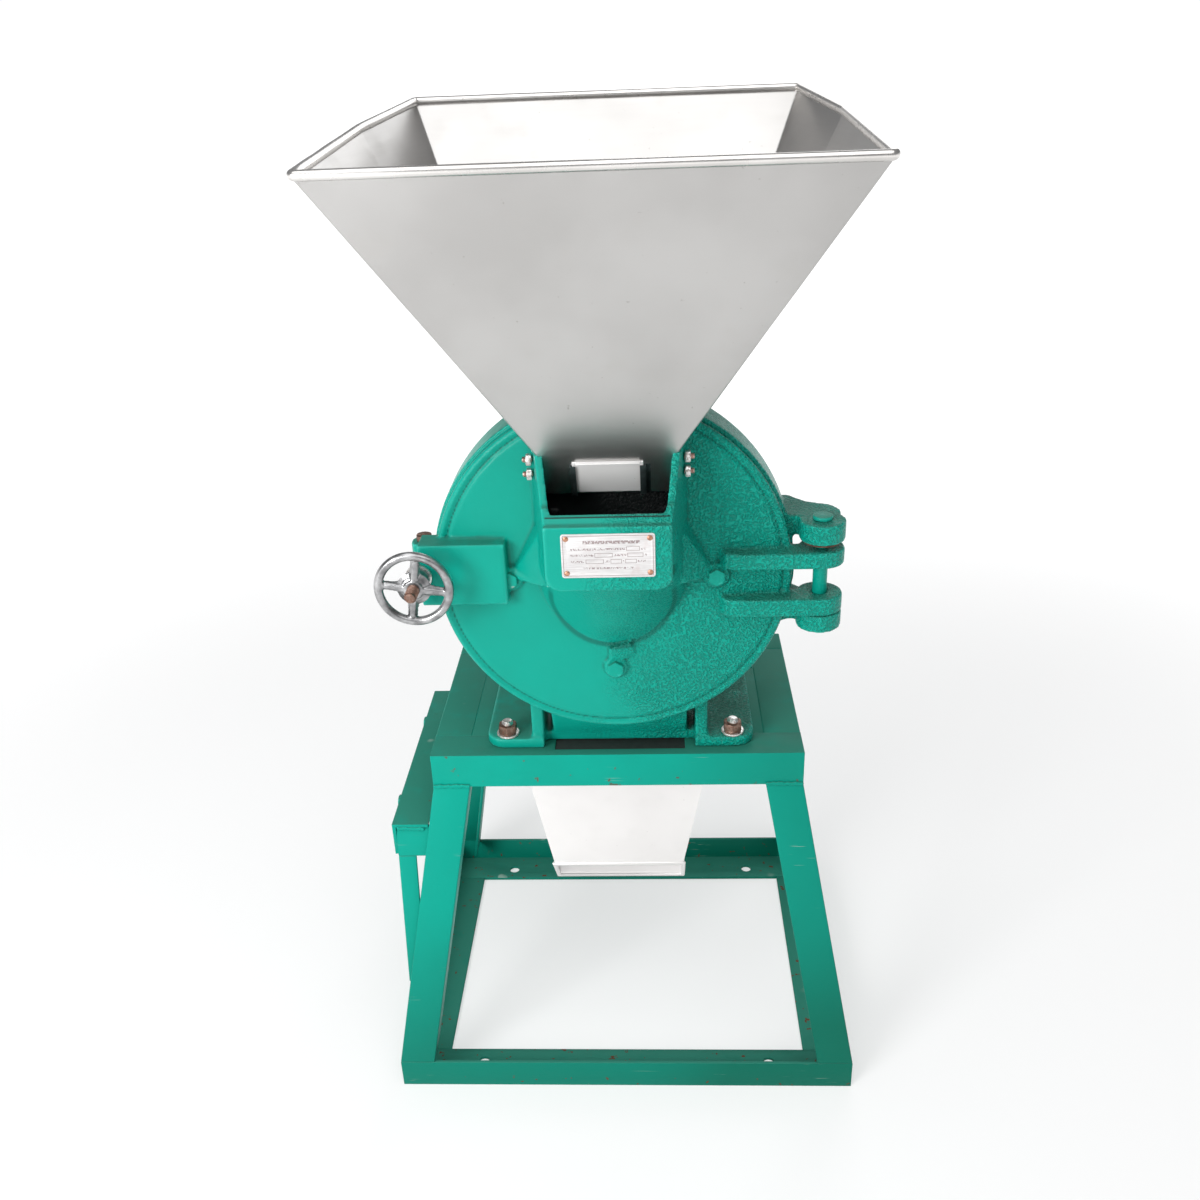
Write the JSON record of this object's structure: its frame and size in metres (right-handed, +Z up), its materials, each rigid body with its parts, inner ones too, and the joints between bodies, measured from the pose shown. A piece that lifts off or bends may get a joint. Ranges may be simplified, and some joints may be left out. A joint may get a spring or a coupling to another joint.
{
  "type": "claw mill",
  "caption": "Belt-driven grain mill on an angle-iron stand: hinged feed door with hopper and slide gate, claw discs, ring screen and discharge spout.",
  "frame": {"origin": "on the floor, at the middle of the four floor-bolt holes in the base frame", "axes": "+Z up; the feed door faces -Y; the door hinge and +X are on the right seen from the front"},
  "size_m": [0.527, 0.5355, 1.0645],
  "materials": {
    "stand_paint": "brush-painted teal green gloss enamel on angle iron",
    "casting_paint": "hammered teal green gloss enamel on cast iron",
    "painted_fastener": "steel fastener painted over in the same green",
    "zinc_plated_steel": "dull zinc plate with brown tarnish",
    "bearing_steel": "ground and polished",
    "machined_steel": "turned",
    "pulley_iron": "turned grooves, dark painted web",
    "disc_iron": "as cast, wear-resistant iron",
    "stainless_sheet": "folded stainless sheet, satin",
    "plate_aluminium": null,
    "rivet_brass": "dull",
    "nipple_brass": "turned",
    "wheel_aluminium": "bright die casting",
    "seal_rubber": "matt"
  },
  "bodies": {
    "stand": {"table_front_angle": "stand_paint", "table_back_angle": "stand_paint", "table_left_angle": "stand_paint", "table_right_angle": "stand_paint", "deck_plate": "stand_paint", "base_front_angle": "stand_paint", "base_back_angle": "stand_paint", "base_left_angle": "stand_paint", "base_right_angle": "stand_paint", "front_left_leg": "stand_paint", "front_right_leg": "stand_paint", "back_left_leg": "stand_paint", "back_right_leg": "stand_paint", "motor_rail": "stand_paint", "front_rail_arm": "stand_paint", "front_rail_strut": "stand_paint", "back_rail_arm": "stand_paint", "back_rail_strut": "stand_paint", "rail_bolts": "painted_fastener", "mill_casing": "casting_paint", "door_seal": "seal_rubber", "foot_bolts": "zinc_plated_steel", "foot_washers": "zinc_plated_steel", "foot_nuts": "zinc_plated_steel", "bearing_housing": "casting_paint", "housing_bolts": "zinc_plated_steel", "grease_nipples": "nipple_brass", "shaft_seal": "seal_rubber", "bearing_cover": "casting_paint", "cover_screws": "zinc_plated_steel", "bearing_outer_races": "bearing_steel", "ring_screen": "stainless_sheet", "hinge_pin": "painted_fastener", "clamp_pin": "zinc_plated_steel", "discharge_chute": "stainless_sheet"},
    "rotor": {"bearing_inner_races": "bearing_steel", "bearing_balls": "bearing_steel", "main_shaft": "machined_steel", "pulley_key": "machined_steel", "drive_pulley": "pulley_iron", "pulley_nut": "zinc_plated_steel", "rotor_disc": "disc_iron", "rotor_nut": "zinc_plated_steel"},
    "door": {"door": "casting_paint", "fixed_disc": "disc_iron", "disc_bolts": "painted_fastener", "nameplate": "plate_aluminium", "nameplate_rivets": "rivet_brass", "hopper": "stainless_sheet", "hopper_rim_wire": "stainless_sheet", "hopper_bolts": "zinc_plated_steel", "hopper_nuts": "zinc_plated_steel", "gate_guides": "stainless_sheet"},
    "gate": {"slide_gate": "stainless_sheet"},
    "swing_bolt": {"swing_bolt": "zinc_plated_steel"},
    "clamp_washer": {"clamp_washer": "zinc_plated_steel"},
    "handwheel": {"handwheel": "wheel_aluminium"}
  },
  "joints": [
    {"name": "rotor_spin", "type": "hinge", "parent": "stand", "child": "rotor", "pos_m": [0.004, 0, 0.642], "axis": [0, 1, 0], "continuous": true},
    {"name": "door_hinge", "type": "hinge", "parent": "stand", "child": "door", "pos_m": [0.204, -0.158, 0.64], "axis": [0, 0, 1], "range_deg": [0, 105]},
    {"name": "gate_slide", "type": "slide", "parent": "door", "child": "gate", "axis": [0, -0.4347, 0.9006], "range_m": [0, 0.03]},
    {"name": "clamp_swing", "type": "hinge", "parent": "stand", "child": "swing_bolt", "pos_m": [-0.1815, -0.137, 0.652], "axis": [0, 0, -1], "range_deg": [0, 100]},
    {"name": "wheel_travel", "type": "slide", "parent": "swing_bolt", "child": "clamp_washer", "axis": [0, -1, 0], "range_m": [0, 0.0176]},
    {"name": "wheel_spin", "type": "hinge", "parent": "clamp_washer", "child": "handwheel", "pos_m": [-0.1815, -0.205, 0.652], "axis": [0, -1, 0], "range_deg": [0, 3600]}
  ],
  "couplings": [
    {"joint": "wheel_travel", "follows": "wheel_spin", "m_per_rad": 0.0002785}
  ]
}
